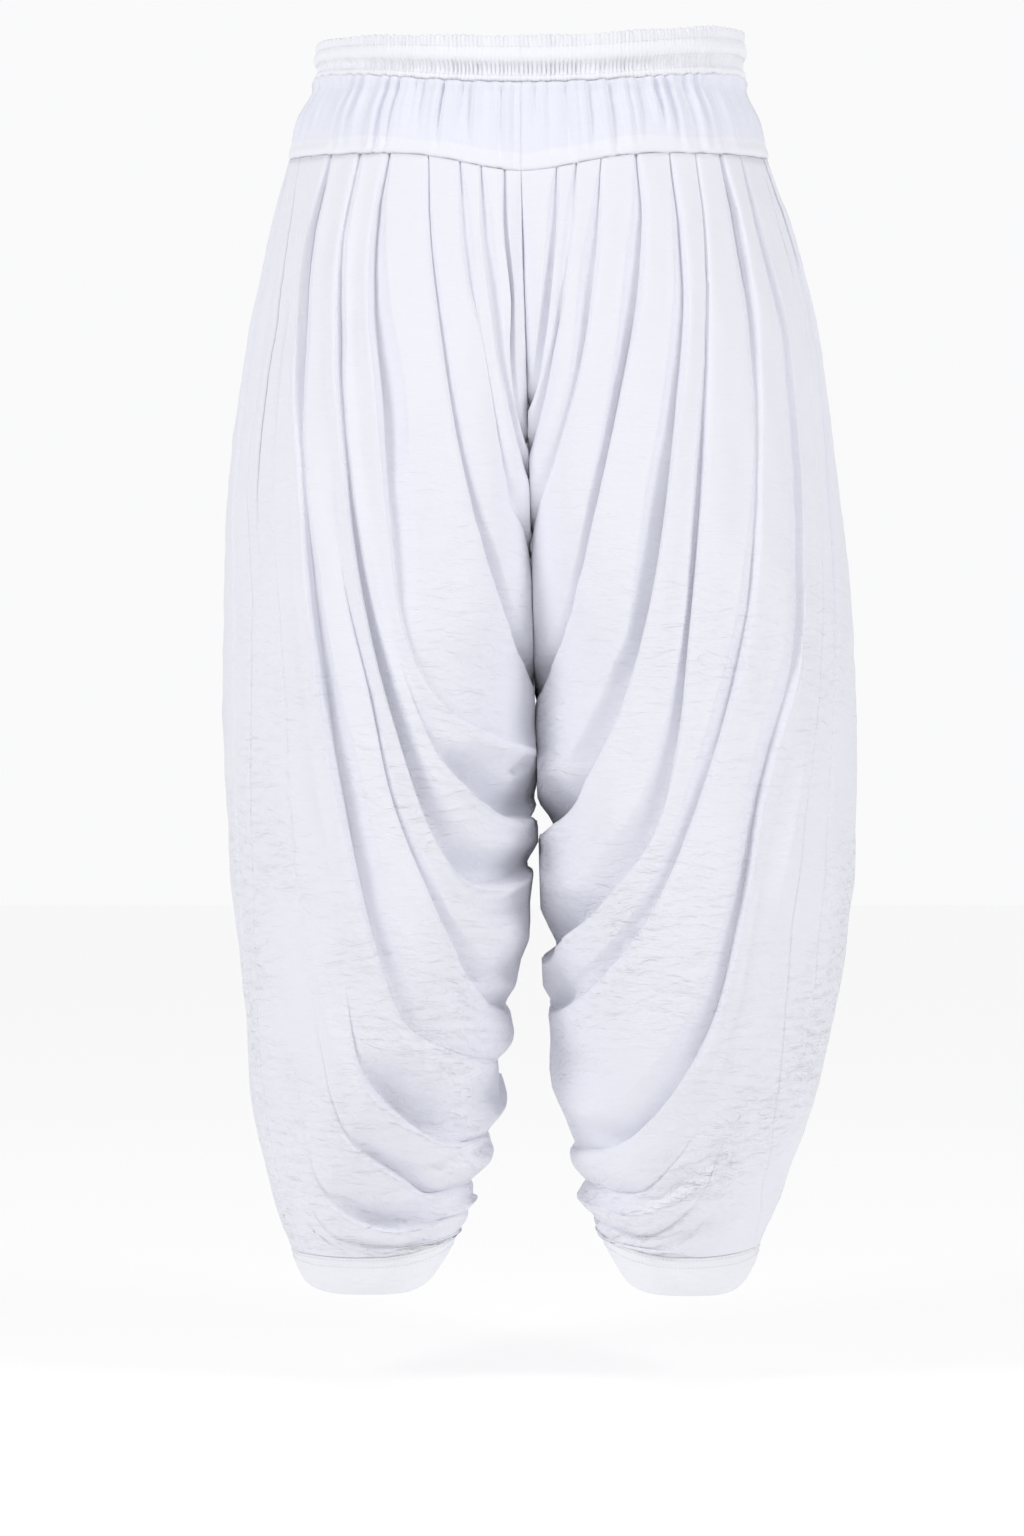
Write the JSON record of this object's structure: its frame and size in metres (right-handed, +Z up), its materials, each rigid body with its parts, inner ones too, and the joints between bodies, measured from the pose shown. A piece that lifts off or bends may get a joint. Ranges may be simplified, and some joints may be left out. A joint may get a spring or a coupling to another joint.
{
  "type": "patiala salwar",
  "caption": "Very full white salwar held open as worn: gathered elastic waistband, flat belt, legs pleated into draped swags, narrow ankle cuffs",
  "frame": {"origin": "middle of the waist, halfway up the gathered waistband, where the wearer's waist holds it", "axes": "+Z up the standing garment, +Y to the wearer's front (the pictured back faces -Y), +X to the wearer's right"},
  "size_m": [0.473, 0.3255, 0.9356],
  "materials": {
    "gore_cloth": "soft slubbed plain weave, matt",
    "belt_cloth": "soft slubbed plain weave, matt",
    "doubled_cloth": "doubled plain weave, matt, shirred or topstitched"
  },
  "bodies": {
    "root": {"waistband": "doubled_cloth", "belt_left": "belt_cloth", "belt_right": "belt_cloth", "back_gore_left": "gore_cloth", "side_panel_left": "gore_cloth", "front_gore_left": "gore_cloth", "back_gore_right": "gore_cloth", "side_panel_right": "gore_cloth", "front_gore_right": "gore_cloth", "cuff_left": "doubled_cloth", "cuff_right": "doubled_cloth"}
  },
  "joints": []
}
